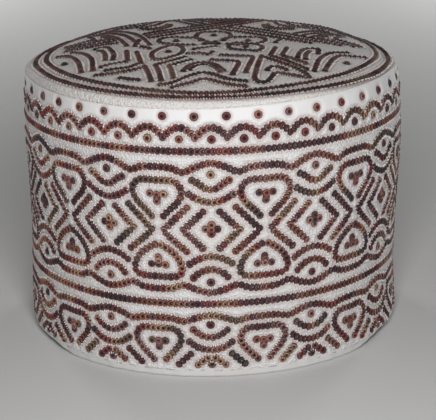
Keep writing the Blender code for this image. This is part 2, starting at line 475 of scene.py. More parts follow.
# The crown's front half is freer handwork: each line in millimetres across and back from the
# middle, in the order left strap, left bars, rising lines, right sevens, right strap and bars
FRONT_STRAPS = (
    ((-51, -39.5), (-47, -37), (-40.5, -34.5)),
    ((-48.5, -46), (-42, -45), (-37.5, -43.5), (-34.5, -39.5)),
    ((-53, -51.5), (-46.5, -51.5), (-39.5, -50), (-33, -47)),
    ((-40.5, -14.5), (-39.5, -30.5)),
    ((-35.5, -17.5), (-34, -29), (-33, -38)),
    ((-31, -45), (-29.5, -52.5), (-27.5, -65)),
    ((-26, -43.5), (-24.5, -52), (-23, -65)),
    ((-19.5, -45.5), (-18.5, -53), (-17.5, -63)),
    ((-24, -41), (-18, -35.5), (-12.5, -29.5)),
    ((-17, -42.5), (-13.5, -39), (-9.5, -35)),
    ((5, -27.5), (12, -29), (17, -30.5), (19.3, -33.5), (18, -42), (15.5, -57)),
    ((0.5, -36.5), (6, -38), (11, -40), (12.5, -42.5), (11.5, -50), (9.5, -60)),
    ((25.5, -34), (30.5, -40.5), (36.5, -48), (41.5, -55), (44, -61)),
    ((28.5, -31), (34, -38), (39.5, -46), (43.5, -51)),
    ((34, -30.5), (38.5, -36), (43.5, -42)),
    ((30.5, -14), (28, -27)),
    ((36, -14.5), (33.5, -26.5)),
)
FRONT_PETALS = (
    ((-28, -19), (-28, -27.5), (-26.5, -32.5), (-22.5, -32), (-18.5, -28), (-15.5, -24.5),
     (-13.8, -19), (-13.5, -12), (-15.5, -6), (-19, -4.5), (-24, -10)),
    ((9, -5), (8.5, -12), (12, -16), (18, -18), (22, -19), (24.3, -14), (23.5, -8), (19, -3.5),
     (13, -1)),
)
FRONT_CURLS = (
    ((-41.5, -59), (-37.5, -61.5), (-33.5, -63)),
    ((-35.5, 9.5), (-37, -2)),
    ((-33.5, -5.5), (-30, -9)),
    ((-11, -22), (-5, -22.5), (-1.5, -25), (0.5, -20)),
    ((-8, -12.5), (-3.5, -10.5), (2.5, -8)),
    ((23.5, -31), (22, -41), (20, -57), (19.3, -66), (21.5, -70), (25, -68.5), (27.5, -62),
     (29.5, -58), (36, -60), (42, -61.5)),
    ((25.5, -53.5), (27, -49.8), (29.5, -49), (34, -53)),
)
FRONT_ROOFS = (
    ((-23, -70.5), (-19, -70), (-14.5, -66), (-9.5, -61), (-4, -57.8), (1, -61), (6, -66),
     (10.5, -68), (15, -69)),
    ((-17.5, -74), (-9.5, -70), (-3.8, -66.3), (2.5, -70), (8.5, -73.5), (14.5, -74.7)),
    ((-13, -53.5), (-10.5, -46), (-6.5, -41.5), (-2.5, -41.5), (1.5, -46), (5.5, -55)),
    ((-10, -52), (-7, -46.5), (-2.5, -45), (1, -49), (3.5, -56.5)),
    ((-56, -3), (-53, -1), (-50, -3), (-48, -10), (-46.3, -20), (-46.5, -28)),
    ((-54, -9), (-52, -12), (-50.5, -19), (-50, -27.5)),
    ((-74, -8), (-70, -11), (-66, -17.5), (-63.5, -24.5), (-62, -32), (-60.5, -43.5)),
    ((-67, -4.5), (-62.5, -10), (-59, -17), (-56.5, -26), (-55, -43)),
    ((40.5, -31), (42, -22.5), (44.5, -16), (48, -14), (51, -16), (50.5, -23)),
    ((44, -34), (44.5, -27), (46.5, -20)),
    ((47, -52), (48.5, -44), (50, -36), (52.5, -28.5), (57, -21.5), (65, -17)),
    ((52, -50.5), (54.5, -41), (57, -32.5), (60.5, -26), (66, -24), (73, -22.5)),
)
FRONT_DOTS = ((-69.5, -26.5), (63, -36.5), (-20.5, -17), (16.5, -9.5))


def on_crown(axis, points):
    """Plan places, in metres, of points counted from a motif's axis."""
    turns = [(math.radians(axis + degrees), out * MM) for degrees, out in points]
    return [(out * math.sin(turn), -out * math.cos(turn)) for turn, out in turns]


def in_metres(points):
    return [(across * MM, back * MM) for across, back in points]


def crown_ring(radius, swings, steps=90):
    """A ring near the crown's rim that the hand has let swing out in places."""
    points = []
    for step in range(steps):
        degrees = 360 * step / steps
        aways = (math.remainder(degrees - swing.azimuth, 360) / swing.degrees
                 for swing in swings)
        points.append((degrees, radius + sum(swing.size_mm * math.exp(-away * away)
                                             for swing, away in zip(swings, aways))))
    return Line("crown_rings", on_crown(0, points), curved=True, closed=True)


def strap_pieces(axis, distance):
    """The far runs of one line of a strap: over its left neighbour, under its right one."""
    neighbour, turn = math.radians(360 / CROWN_REPEATS), math.radians(axis)
    runs, run = [], []
    for step in range(int(2 * STRAP_REACH_MM / STRAP_STEP_MM) + 1):
        across = step * STRAP_STEP_MM - STRAP_REACH_MM
        past = max(0.0, abs(across) - STRAP_BEND_MM) / (STRAP_REACH_MM - STRAP_BEND_MM)
        out = distance + STRAP_BOW_MM * past * past
        beside = across * math.sin(neighbour) + out * math.cos(neighbour)
        covered = (across > 0 and STRAPS_MM[0] - STRAP_MARGIN_MM < beside
                   < STRAPS_MM[-1] + STRAP_MARGIN_MM)
        behind = across * math.sin(turn) - out * math.cos(turn)
        if math.hypot(across, out) < STRAP_REACH_MM and not covered and behind > 0.0:
            run.append(((across * math.cos(turn) + out * math.sin(turn)) * MM, behind * MM))
        elif run:
            runs.append(run)
            run = []
    return [Line("crown_straps", run, False, False) for run in runs + [run]
            if len(run) > SHORTEST_STRAP]


def crown_chart():
    """Every line and dot of the crown, as plan places in metres."""
    chart = [crown_ring(radius, swings) for radius, swings in CROWN_RINGS_MM]
    for piece, lines, closed in (("crown_straps", FRONT_STRAPS, False),
                                 ("crown_petals", FRONT_CURLS, False),
                                 ("crown_roofs", FRONT_ROOFS, False),
                                 ("crown_petals", FRONT_PETALS, True)):
        chart += [Line(piece, in_metres(line), True, closed) for line in lines]
    chart.append(Spot("crown_dots", in_metres(FRONT_DOTS)))
    for axes, piece, lines, dot in ((FAR_MOTIFS, "crown_roofs", ROOFS, ROOF_DOT),
                                    (FAR_BETWEENS, "crown_petals", ZIGZAG_ARCH_PETAL, PETAL_DOT)):
        for axis in axes:
            chart += [Line(piece, on_crown(axis, line), True, False) for line in lines]
            chart.append(Spot("crown_dots", on_crown(axis, dot)))
    for repeat in range(1, CROWN_REPEATS):
        for distance in STRAPS_MM:
            chart += strap_pieces(CROWN_TURN + repeat * 360 / CROWN_REPEATS, distance)
    chart.append(Spot("crown_dots", on_crown(0, CENTRE_CLUSTER)))
    return chart


def rounded(points, closed, lap, steps=6):
    """More points on a smooth curve through the given ones. A closed one ends a lap further."""
    if closed:
        wrapped = np.concatenate((points[-1:] - lap, points, points[:2] + lap))
    else:
        wrapped = np.concatenate((2 * points[:1] - points[1:2], points,
                                  2 * points[-1:] - points[-2:-1]))
    made = []
    for a, b, c, d in zip(wrapped, wrapped[1:], wrapped[2:], wrapped[3:]):
        for t in np.arange(steps) / steps:
            bow = 2 * a - 5 * b + 4 * c - d + t * (3 * (b - c) + d - a)
            made.append(b + 0.5 * t * (c - a + t * bow))
    return np.array(made if closed else made + [points[-1]])


def refined(points, closed, lap, steps=5):
    """Straight stretches cut into short ones, so that they follow the cap's round."""
    following = np.concatenate((points[1:], points[:1] + lap)) if closed else points[1:]
    made = [start + (end - start) * step / steps
            for start, end in zip(points, following) for step in range(steps)]
    return np.array(made if closed else made + [points[-1]])


# Node trees, written as sums and products of values

FLOAT, VECTOR, COLOUR = "NodeSocketFloat", "NodeSocketVector", "NodeSocketColor"
GEOMETRY, OBJECT, MATERIAL = "NodeSocketGeometry", "NodeSocketObject", "NodeSocketMaterial"


class Value:
    """A node's output. Reckoning with it adds the math nodes that work the result out."""

    def __init__(self, socket):
        self.socket = socket
        self.tree = socket.id_data
        self.is_vector = socket.type in ("VECTOR", "RGBA")

    def apply(self, operation, other=0.0):
        kind = "ShaderNodeVectorMath" if self.is_vector else "ShaderNodeMath"
        return add_node(self.tree, kind, {0: self, 1: other}, operation=operation)

    def __add__(self, other):
        return self.apply("ADD", other)

    def __sub__(self, other):
        return self.apply("SUBTRACT", other)

    def __rsub__(self, other):
        return add_node(self.tree, "ShaderNodeMath", {0: other, 1: self}, operation="SUBTRACT")

    def __mul__(self, other):
        if not self.is_vector:
            return self.apply("MULTIPLY", other)
        return add_node(self.tree, "ShaderNodeVectorMath", {0: self, "Scale": other},
                        operation="SCALE")

    def __truediv__(self, other):
        return self.apply("DIVIDE", other)


def socket_named(sockets, key):
    if isinstance(key, int):
        return sockets[key]
    return next(socket for socket in sockets if socket.name == key and socket.enabled)


def fill(socket, value):
    """Sets an input to a number or a colour, or links it to a value."""
    if isinstance(value, Value):
        value.tree.links.new(value.socket, socket)
    else:
        socket.default_value = value


def add_node(tree, kind, inputs=None, give=0, **settings):
    """A node with its settings and inputs. Gives back one of its outputs, or several."""
    node = tree.nodes.new(kind)
    for key, setting in settings.items():
        setattr(node, key, setting)
    for key, value in (inputs or {}).items():
        fill(socket_named(node.inputs, key), value)
    if isinstance(give, tuple):
        return [Value(socket_named(node.outputs, key)) for key in give]
    return Value(socket_named(node.outputs, give))


def new_geometry_tree(name, inputs):
    """A tree that works on a piece's mesh and gives it a material."""
    return new_group(name, "GeometryNodeTree",
                     {"Geometry": GEOMETRY, **inputs, "Material": MATERIAL},
                     {"Geometry": GEOMETRY})


def new_group(name, kind, inputs, outputs):
    """A node group. Each named input is a socket's type, or a number that it starts from."""
    tree = bpy.data.node_groups.new(name, kind)
    for label, given in inputs.items():
        number = {float: FLOAT, int: "NodeSocketInt"}.get(type(given))
        socket = tree.interface.new_socket(label, in_out="INPUT", socket_type=number or given)
        if number:
            socket.default_value = given
    for label, socket_type in outputs.items():
        tree.interface.new_socket(label, in_out="OUTPUT", socket_type=socket_type)
    entry = tree.nodes.new("NodeGroupInput")
    leave = tree.nodes.new("NodeGroupOutput")
    return tree, {label: Value(entry.outputs[label]) for label in inputs}, leave.inputs


def noise(tree, place, scale, detail=1.0, roughness=0.5, give=0):
    return add_node(tree, "ShaderNodeTexNoise",
                    {"Vector": place, "Scale": scale, "Detail": detail, "Roughness": roughness},
                    give)


def carried(tree, value, low, high, start=0.0, end=1.0, smooth=False):
    """A value carried from one range over to another, and held at its ends."""
    return add_node(tree, "ShaderNodeMapRange",
                    {"Value": value, "From Min": low, "From Max": high, "To Min": start,
                     "To Max": end}, interpolation_type="SMOOTHSTEP" if smooth else "LINEAR")


def read_attribute(tree, name, data_type="FLOAT"):
    return add_node(tree, "GeometryNodeInputNamedAttribute", {"Name": name}, "Attribute",
                    data_type=data_type)


def store_value(tree, geometry, name, value):
    return add_node(tree, "GeometryNodeStoreNamedAttribute",
                    {"Geometry": geometry, "Name": name, "Value": value},
                    data_type="FLOAT", domain="POINT")


def moved_by(tree, geometry, offset):
    return add_node(tree, "GeometryNodeSetPosition", {"Geometry": geometry, "Offset": offset})


def object_geometry(tree, object_value):
    return add_node(tree, "GeometryNodeObjectInfo", {"Object": object_value}, "Geometry",
                    transform_space="ORIGINAL")


def random_between(tree, low, high, seed):
    return add_node(tree, "FunctionNodeRandomValue", {"Min": low, "Max": high, "Seed": seed},
                    "Value", data_type="FLOAT")


def place_on_chain(tree, chain, shape, facing, sideways, size):
    """Copies of a shape on each point of a chain, its top along the surface's facing."""
    turn = add_node(tree, "FunctionNodeAxesToRotation",
                    {"Primary Axis": facing, "Secondary Axis": sideways},
                    primary_axis="Z", secondary_axis="X")
    return add_node(tree, "GeometryNodeInstanceOnPoints",
                    {"Points": chain, "Instance": shape, "Rotation": turn, "Scale": size})


def finish_tree(tree, geometry, material, leave):
    solid = add_node(tree, "GeometryNodeRealizeInstances", {"Geometry": geometry})
    smooth = add_node(tree, "GeometryNodeSetShadeSmooth",
                      {"Geometry": solid, "Shade Smooth": True})
    fill(leave["Geometry"], add_node(tree, "GeometryNodeSetMaterial",
                                     {"Geometry": smooth, "Material": material}))
    return tree


def settle(piece, tree, values):
    """Runs a geometry tree on a piece with the named inputs, and keeps the plain mesh."""
    modifier = piece.modifiers.new(tree.name, "NODES")
    modifier.node_group = tree
    for item in tree.interface.items_tree:
        if item.item_type == "SOCKET" and item.in_out == "INPUT" and item.name in values:
            modifier[item.identifier] = values[item.name]
    graph = bpy.context.evaluated_depsgraph_get()
    graph.update()
    made = bpy.data.meshes.new_from_object(piece.evaluated_get(graph),
                                           preserve_all_data_layers=True, depsgraph=graph)
    made.name = piece.name
    piece.modifiers.clear()
    piece.data = made


def evenly_spaced(tree, lines, pitch, per_pitch):
    """Each line as a curve with whole steps of about a pitch, or with more points to a pitch."""
    curve = add_node(tree, "GeometryNodeMeshToCurve", {"Mesh": lines})
    length = add_node(tree, "GeometryNodeSplineLength")
    closed = add_node(tree, "GeometryNodeInputSplineCyclic")
    count = (length / pitch).apply("ROUND") * per_pitch + (1.0 - closed)
    return add_node(tree, "GeometryNodeResampleCurve", {"Curve": curve, "Count": count},
                    mode="COUNT")


def eyelet_chain_tree():
    """Eyelets at an even pitch along drawn lines, each knowing its place on the thread."""
    tree, source, leave = new_geometry_tree("eyelet_chain", {
        "Eyelet": OBJECT, "Pitch": 0.0027, "Size": 1.0, "Size Variation": 0.07, "Sink": 0.0,
        "Tip": 0.0, "Tip Variation": 0.10, "Seed": 1})
    size, tip = ((source[name] - source[name + " Variation"],
                  source[name] + source[name + " Variation"]) for name in ("Size", "Tip"))
    even = evenly_spaced(tree, source["Geometry"], source["Pitch"], 1.0)
    facing = read_attribute(tree, "facing", "FLOAT_VECTOR")
    along = add_node(tree, "GeometryNodeSplineParameter", give="Length")
    kept = store_value(tree, even, "thread_run", read_attribute(tree, "thread_start") + along)
    sunk = moved_by(tree, kept, facing * (source["Sink"] * -1.0))
    tangent = add_node(tree, "GeometryNodeInputTangent")
    tipped = facing + tangent * random_between(tree, *tip, source["Seed"] + TIP_SEED)
    placed = place_on_chain(tree, sunk, object_geometry(tree, source["Eyelet"]), tipped, tangent,
                            random_between(tree, *size, source["Seed"]))
    return finish_tree(tree, placed, source["Material"], leave)


def edge_tick_tree():
    """Short white stitches in two rows, one each side of every drawn line."""
    tree, source, leave = new_geometry_tree("edge_ticks", {
        "Tick": OBJECT, "Pitch": 0.0013, "Notch Offset": 0.0015, "Outer Offset": 0.0020,
        "Notch Lift": 0.0001, "Outer Lift": 0.0002, "Lean": 0.0, "Lean Variation": 0.45,
        "Slope": 0.3, "Smallest": 0.6, "Largest": 1.25, "Seed": 1})
    even = evenly_spaced(tree, source["Geometry"], source["Pitch"], 2.0)
    notch = add_node(tree, "GeometryNodeSplineParameter", give="Index").apply("MODULO", 2.0)
    offset, lift = (carried(tree, notch, 0.0, 1.0, source["Outer " + name],
                            source["Notch " + name]) for name in ("Offset", "Lift"))
    facing = read_attribute(tree, "facing", "FLOAT_VECTOR")
    tangent = add_node(tree, "GeometryNodeInputTangent")
    outwards = tangent.apply("CROSS_PRODUCT", facing)
    shape = object_geometry(tree, source["Tick"])
    joined = tree.nodes.new("GeometryNodeJoinGeometry")
    for order, side in enumerate((-1.0, 1.0)):
        seed = source["Seed"] + float(order)
        away = outwards * side
        moved = moved_by(tree, even, outwards * (offset * side) + facing * lift)
        middle = source["Lean"] * side
        lean = random_between(tree, middle - source["Lean Variation"],
                              middle + source["Lean Variation"], seed)
        aslant = away + facing * source["Slope"] + tangent * lean
        upward = facing + away * (source["Slope"] * -1.0)
        size = random_between(tree, source["Smallest"], source["Largest"], seed + SIZE_SEED)
        fill(joined.inputs[0], place_on_chain(tree, moved, shape, upward, aslant, size))
    return finish_tree(tree, Value(joined.outputs[0]), source["Material"], leave)


def quilting_tree():
    """Cloth that swells between the stitched lines and is drawn in along them."""
    tree, source, leave = new_geometry_tree("quilting", {
        "Drawn Lines": OBJECT, "Puff Height": 0.0006, "Furrow Depth": 0.0003,
        "Puff Start": 0.0013, "Puff Full": 0.0034, "Unevenness": 0.5, "Lump Scale": 170.0,
        "Grain": 0.00030, "Grain Scale": 620.0})
    lines = object_geometry(tree, source["Drawn Lines"])
    near = add_node(tree, "GeometryNodeProximity", {0: lines}, "Distance",
                    target_element="EDGES")
    swell = carried(tree, near, source["Puff Start"], source["Puff Full"], smooth=True)
    place = add_node(tree, "GeometryNodeInputPosition")
    lumps = (noise(tree, place, source["Lump Scale"]) - 0.5) * source["Unevenness"]
    grain = (noise(tree, place, source["Grain Scale"]) - 0.5) * (source["Grain"] * swell)
    raised = swell * (source["Puff Height"] * (lumps + 1.0))
    height = raised - source["Furrow Depth"] + grain
    outer = read_attribute(tree, "outer")
    facing = read_attribute(tree, "facing", "FLOAT_VECTOR")
    moved = moved_by(tree, source["Geometry"], facing * (height * outer))
    # The furrow mask, 1 along the lines and 0 on the swells, marks where the cloth gets painted
    # shade
    marked = store_value(tree, moved, "furrow", (1.0 - swell) * outer)
    return finish_tree(tree, marked, source["Material"], leave)


# Finishes

def new_material(name, values):
    """A material with some of its shader's inputs set, its node tree and those inputs."""
    material = bpy.data.materials.new(name)
    material.use_nodes = True
    shader = material.node_tree.nodes["Principled BSDF"].inputs
    for label, value in values.items():
        shader[label].default_value = value
    return material, material.node_tree, shader


def soft_material(name, roughness, sheen):
    return new_material(name, {"Roughness": roughness, "Sheen Weight": sheen,
                               "Specular IOR Level": 0.3})


def mix_colours(tree, share, first, second):
    return add_node(tree, "ShaderNodeMix", {"Factor": share, "A": first, "B": second}, "Result",
                    data_type="RGBA")


def point_value(tree, name, give="Fac"):
    return add_node(tree, "ShaderNodeAttribute", give=give, attribute_name=name)


def object_place(tree):
    return add_node(tree, "ShaderNodeTexCoord", give="Object")


def from_group(tree, group, inputs, give=0):
    return add_node(tree, "ShaderNodeGroup", inputs, give, node_tree=group)


def plain_weave_group():
    """Fine crossing yarns, as a height and as a faint shade. The map is in metres."""
    tree, source, leave = new_group(
        "plain_weave", "ShaderNodeTree",
        {"Map": VECTOR, "Yarns Per Metre": 1900.0, "Wobble": 0.0004, "Wobble Scale": 260.0,
         "Yarn Shade": 0.4, "Fuzz Shade": 0.5, "Fuzz Scale": 900.0, "Least Shade": 0.25},
        {"Height": FLOAT, "Shade": FLOAT})
    wobble = noise(tree, source["Map"], source["Wobble Scale"], detail=2.0, give="Color")
    laid = source["Map"] + wobble * source["Wobble"]
    across, up = add_node(tree, "ShaderNodeSeparateXYZ", {0: laid}, ("X", "Y"))
    rate = source["Yarns Per Metre"] * math.pi
    height = (across * rate).apply("SINE") * (up * rate).apply("SINE") * 0.5 + 0.5
    fuzz = noise(tree, source["Map"], source["Fuzz Scale"], detail=3.0)
    fill(leave["Height"], height)
    fill(leave["Shade"], height * source["Yarn Shade"] + fuzz * source["Fuzz Shade"]
         + source["Least Shade"])
    return tree


def seed_stitch_group():
    """The small white stitches that fill the ground, as a height."""
    tree, source, leave = new_group("seed_stitches", "ShaderNodeTree",
                                    {"Place": VECTOR, "Per Metre": 850.0, "Randomness": 0.9,
                                     "Narrowness": 1.5}, {"Height": FLOAT})
    distance = add_node(tree, "ShaderNodeTexVoronoi",
                        {"Vector": source["Place"], "Scale": source["Per Metre"],
                         "Randomness": source["Randomness"]}, "Distance", feature="F1")
    fill(leave["Height"],
         (1.0 - distance).apply("MAXIMUM", 0.0).apply("POWER", source["Narrowness"]))
    return tree


def handling_group():
    """Where hands and storage have dulled the cloth, as a mask."""
    tree, source, leave = new_group("handling", "ShaderNodeTree",
                                    {"Place": VECTOR, "Patch Scale": 22.0, "Cover": 0.5,
                                     "Start": 0.78, "Full": 0.85}, {"Mask": FLOAT})
    broad = noise(tree, source["Place"], source["Patch Scale"], detail=4.0, roughness=0.6)
    fill(leave["Mask"], carried(tree, broad, source["Start"] - source["Cover"],
                                source["Full"], smooth=True))
    return tree


def dye_group():
    """Thread that was dyed in stretches: the colour at a length along it."""
    tree, source, leave = new_group("dyed_stretches", "ShaderNodeTree",
                                    {"Run": 0.0, "Stretches Per Metre": 17.0},
                                    {"Color": COLOUR})
    change = add_node(tree, "ShaderNodeTexNoise",
                      {"W": source["Run"] * source["Stretches Per Metre"], "Scale": 1.0,
                       "Detail": 2.0, "Roughness": 0.6}, noise_dimensions="1D")
    ramp = tree.nodes.new("ShaderNodeValToRGB")
    steps = ramp.color_ramp.elements
    while len(steps) < len(THREAD_DYES):
        steps.new(0.5)
    for step, dye in zip(steps, THREAD_DYES):
        step.position = dye.place
        step.color = dye.colour
    fill(ramp.inputs["Fac"], carried(tree, change, *NOISE_RANGE))
    fill(leave["Color"], Value(ramp.outputs["Color"]))
    return tree


def thread_wrap_group():
    """The turns of thread round an eyelet, as a height."""
    tree, source, leave = new_group(
        "thread_wraps", "ShaderNodeTree",
        {"Around": VECTOR, "Turns": 15.0, "Run": 0.0, "Phase Per Metre": 900.0},
        {"Height": FLOAT})
    across, up = add_node(tree, "ShaderNodeSeparateXYZ", {0: source["Around"]}, ("X", "Y"))
    spun = (up.apply("ARCTAN2", across) * source["Turns"]
            + source["Run"] * source["Phase Per Metre"])
    fill(leave["Height"], spun.apply("SINE") * 0.5 + 0.5)
    return tree


def bump(tree, height, relief, strength, over=None):
    """A normal for relief of a height in metres, on top of another normal if one is given."""
    inputs = {"Height": height, "Strength": strength, "Distance": relief}
    if over:
        inputs["Normal"] = over
    return add_node(tree, "ShaderNodeBump", inputs, "Normal")


def cloth_material(groups, name, colour, furrow_shade_colour, handled, plain_above):
    """Cotton filled with seed stitches up to a height, in metres, and plain above it."""
    material, tree, shader = soft_material(name, roughness=0.9, sheen=0.25)
    place = object_place(tree)
    flat = add_node(tree, "ShaderNodeUVMap", uv_map="cloth_map")
    yarns, weave = from_group(tree, groups["weave"], {"Map": flat}, ("Height", "Shade"))
    seeds = from_group(tree, groups["seeds"], {"Place": place})
    dull = from_group(tree, groups["handling"], {"Place": place, "Cover": handled})
    # Painted shade: the cloth takes its furrow shade colour along the lines, beside the swells
    base = mix_colours(tree, point_value(tree, "furrow"), colour, furrow_shade_colour)
    height = add_node(tree, "ShaderNodeSeparateXYZ", {0: place}, "Z")
    filled = carried(tree, height, plain_above - FILLING_FADE, plain_above, 1.0, 0.0)
    stitched = filled * (seeds - 0.5) + 0.5
    # Painted shade: the cloth is darker between its raised seed stitches and between its yarns,
    # and the weave's fuzz varies it at random
    shade = stitched * STITCH_SHADE + weave * WEAVE_SHADE + GROUND_SHADE
    fill(shader["Base Color"], mix_colours(tree, dull * DULLING, base * shade, HANDLING))
    fill(shader["Roughness"], weave * YARN_ROUGHENING + COTTON_ROUGHNESS)
    woven = bump(tree, yarns, YARN_RELIEF, strength=0.35)
    fill(shader["Normal"], bump(tree, stitched, STITCH_RELIEF, strength=1.0, over=woven))
    return material


def thread_material(groups, name, lightness):
    """Dyed thread, darker and duller where its lightness is below 1: painted shade, for a shaded
    copy such as the crown's.
    """
    material, tree, shader = soft_material(name, roughness=0.62, sheen=0.12)
    run = point_value(tree, "thread_run")
    dye = from_group(tree, groups["dye"], {"Run": run})
    wraps = from_group(tree, groups["wraps"],
                       {"Around": point_value(tree, "around", "Vector"), "Run": run})
    strands = carried(tree, noise(tree, object_place(tree), STRANDS_PER_METRE), *STRAND_RANGE)
    # Painted light and shade: each eyelet is lit on its crest and shaded at its foot, the grooves
    # between its wraps are shaded, and its well takes the hole's painted shade
    crest = point_value(tree, "crest") * (PAINTED_CREST_LIGHT * lightness) + PAINTED_FOOT_LIGHT * lightness
    lit = dye * ((wraps * 0.5 + strands) * crest)
    fill(shader["Base Color"], mix_colours(tree, point_value(tree, "well"), lit, HOLE_SHADE))
    fill(shader["Normal"], bump(tree, wraps, WRAP_RELIEF, strength=0.7))
    return material


def white_thread_material(groups, name, colour):
    material, tree, shader = soft_material(name, roughness=0.8, sheen=0.2)
    dull = from_group(tree, groups["handling"],
                      {"Place": object_place(tree), "Patch Scale": 60.0})
    fill(shader["Base Color"], mix_colours(tree, dull, colour, COTTON_SHADE_AND_SOIL))
    return material


# Meshes

def mesh_object(name, points, faces):
    """An object from an array of points and arrays of faces, smooth shaded."""
    data = bpy.data.meshes.new(name)
    data.vertices.add(len(points))
    data.vertices.foreach_set("co", np.asarray(points, np.float32).ravel())
    loops = np.concatenate([np.asarray(block, np.int32).ravel() for block in faces])
    sizes = np.concatenate([np.full(len(block), block.shape[1], np.int32) for block in faces])
    starts = np.concatenate(([0], np.cumsum(sizes)[:-1])).astype(np.int32)
    data.loops.add(len(loops))
    data.loops.foreach_set("vertex_index", loops)
    data.polygons.add(len(sizes))
    data.polygons.foreach_set("loop_start", starts)
    data.update(calc_edges=True)
    data.validate()
    data.shade_smooth()
    return put_in_scene(bpy.data.objects.new(name, data))


def put_in_scene(thing):
    bpy.context.scene.collection.objects.link(thing)
    return thing


def remove_object(piece):
    bpy.data.objects.remove(piece, do_unlink=True)


def add_point_values(piece, name, values):
    values = np.asarray(values, np.float32)
    kind, field = ("FLOAT_VECTOR", "vector") if values.ndim == 2 else ("FLOAT", "value")
    attribute = piece.data.attributes.new(name, kind, "POINT")
    attribute.data.foreach_set(field, values.ravel())


def add_cloth_map(piece, flat_points):
    """A UV map in metres, from each vertex's place on the flat cloth."""
    layer = piece.data.uv_layers.new(name="cloth_map")
    corners = np.zeros(len(piece.data.loops), np.int32)
    piece.data.loops.foreach_get("vertex_index", corners)
    layer.data.foreach_set("uv", np.asarray(flat_points, np.float32)[corners].ravel())


def turns_round(columns):
    return np.linspace(0.0, math.tau, columns, endpoint=False)


def bridge(low, high, columns):
    """Faces between two closed loops, each told by its first vertex; outwards when going up."""
    column = np.arange(columns)
    after = (column + 1) % columns
    return np.stack((low + column, low + after, high + after, high + column), -1)


def tube(rows, columns, start=0):
    return np.concatenate([bridge(start + row * columns, start + (row + 1) * columns, columns)
                           for row in range(rows - 1)])


def fan(loop, middle, columns):
    """Triangles from a closed loop, told by its first vertex, to a middle vertex."""
    column = np.arange(columns)
    return np.stack((loop + column, loop + (column + 1) % columns, np.full(columns, middle)), -1)


def flipped(faces):
    return faces[:, [1, 0, 2]]


def shell_of(name, outer, inner, facing, flat, closed_middle):
    """A cloth wall from rows of outer and inner points; a crown's rows end in the middle."""
    rows, columns = outer.shape[:2]
    count, last = rows * columns, (rows - 1) * columns
    points = np.concatenate((outer.reshape(-1, 3), inner.reshape(-1, 3)))
    top = len(points)
    faces = [tube(rows, columns), tube(len(inner), columns, count),
             bridge(count + (len(inner) - 1) * columns, 0, columns)]
    if closed_middle:
        points = np.concatenate((points, outer[-1].mean(0)[None], inner[0].mean(0)[None]))
        faces += [fan(last, top, columns), flipped(fan(count, top + 1, columns))]
    else:
        faces.append(bridge(last, count, columns))
    piece = mesh_object(name, points, faces)
    mask = (np.arange(len(points)) < count).astype(float)
    directions = np.zeros((len(points), 3))
    directions[:count] = facing.reshape(-1, 3)
    if closed_middle:
        mask[top] = 1.0
        directions[top] = (0, 0, 1)
    add_point_values(piece, "outer", mask)
    add_point_values(piece, "facing", directions)
    add_cloth_map(piece, np.concatenate((flat.reshape(-1, 2), points[count:, :2])))
    return piece


def hem_top(azimuth):
    return HEM_SHOWN + HEM_LIFT_SHARE * bend_at(HEM_CURLS, azimuth)


def rolled_in(distance):
    """How far a wall draws in near its edge, for a distance from the edge."""
    return EDGE_DRAW * (1.0 - np.clip(distance / EDGE_ROLL, 0.0, 1.0)) ** 2


def make_band():
    azimuth = turns_round(BAND_COLUMNS)
    bottom = hem_top(azimuth) - HEM_OVERLAP
    seam = seam_height(azimuth) + SEAM_GAP
    height = bottom + (seam - bottom) * np.linspace(0.0, 1.0, BAND_ROWS + 1)[:, None]
    turn = np.broadcast_to(azimuth, height.shape)
    inset = rolled_in(seam - height)
    inset += FOOT_DRAW * (1.0 - smooth_step((height - bottom) / HEM_OVERLAP))
    inner_height = bottom + (seam - bottom) * np.linspace(1.0, 0.0, INNER_ROWS + 1)[:, None]
    return shell_of("side_band_cloth", band_wall(azimuth, height, inset),
                    band_wall(azimuth, inner_height, CLOTH), facing_of(band_wall, turn, height),
                    np.stack((turn * KNEE_RADIUS, height), -1), False)


def make_crown():
    azimuth = turns_round(CROWN_COLUMNS)
    share = np.concatenate((np.linspace(2.0, 1.0, SHOULDER_ROWS, endpoint=False),
                            np.linspace(1.0, 0.0, CROWN_ROWS, endpoint=False)))[:, None]
    base = crown_top(azimuth, share)
    facing = facing_between(np.roll(base, -1, axis=1) - np.roll(base, 1, axis=1),
                            np.gradient(base, axis=0))
    inset = rolled_in(base[..., 2] - (seam_height(azimuth) + SEAM_GAP))
    inner_share = np.concatenate((np.linspace(0.0, 1.0, INNER_ROWS, endpoint=False)[1:],
                                  np.linspace(1.0, 2.0, INNER_SHOULDER_ROWS)))[:, None]
    return shell_of("crown_panel_cloth", base - facing * inset[..., None],
                    crown_top(azimuth, inner_share, CLOTH), facing, base[..., :2], True)


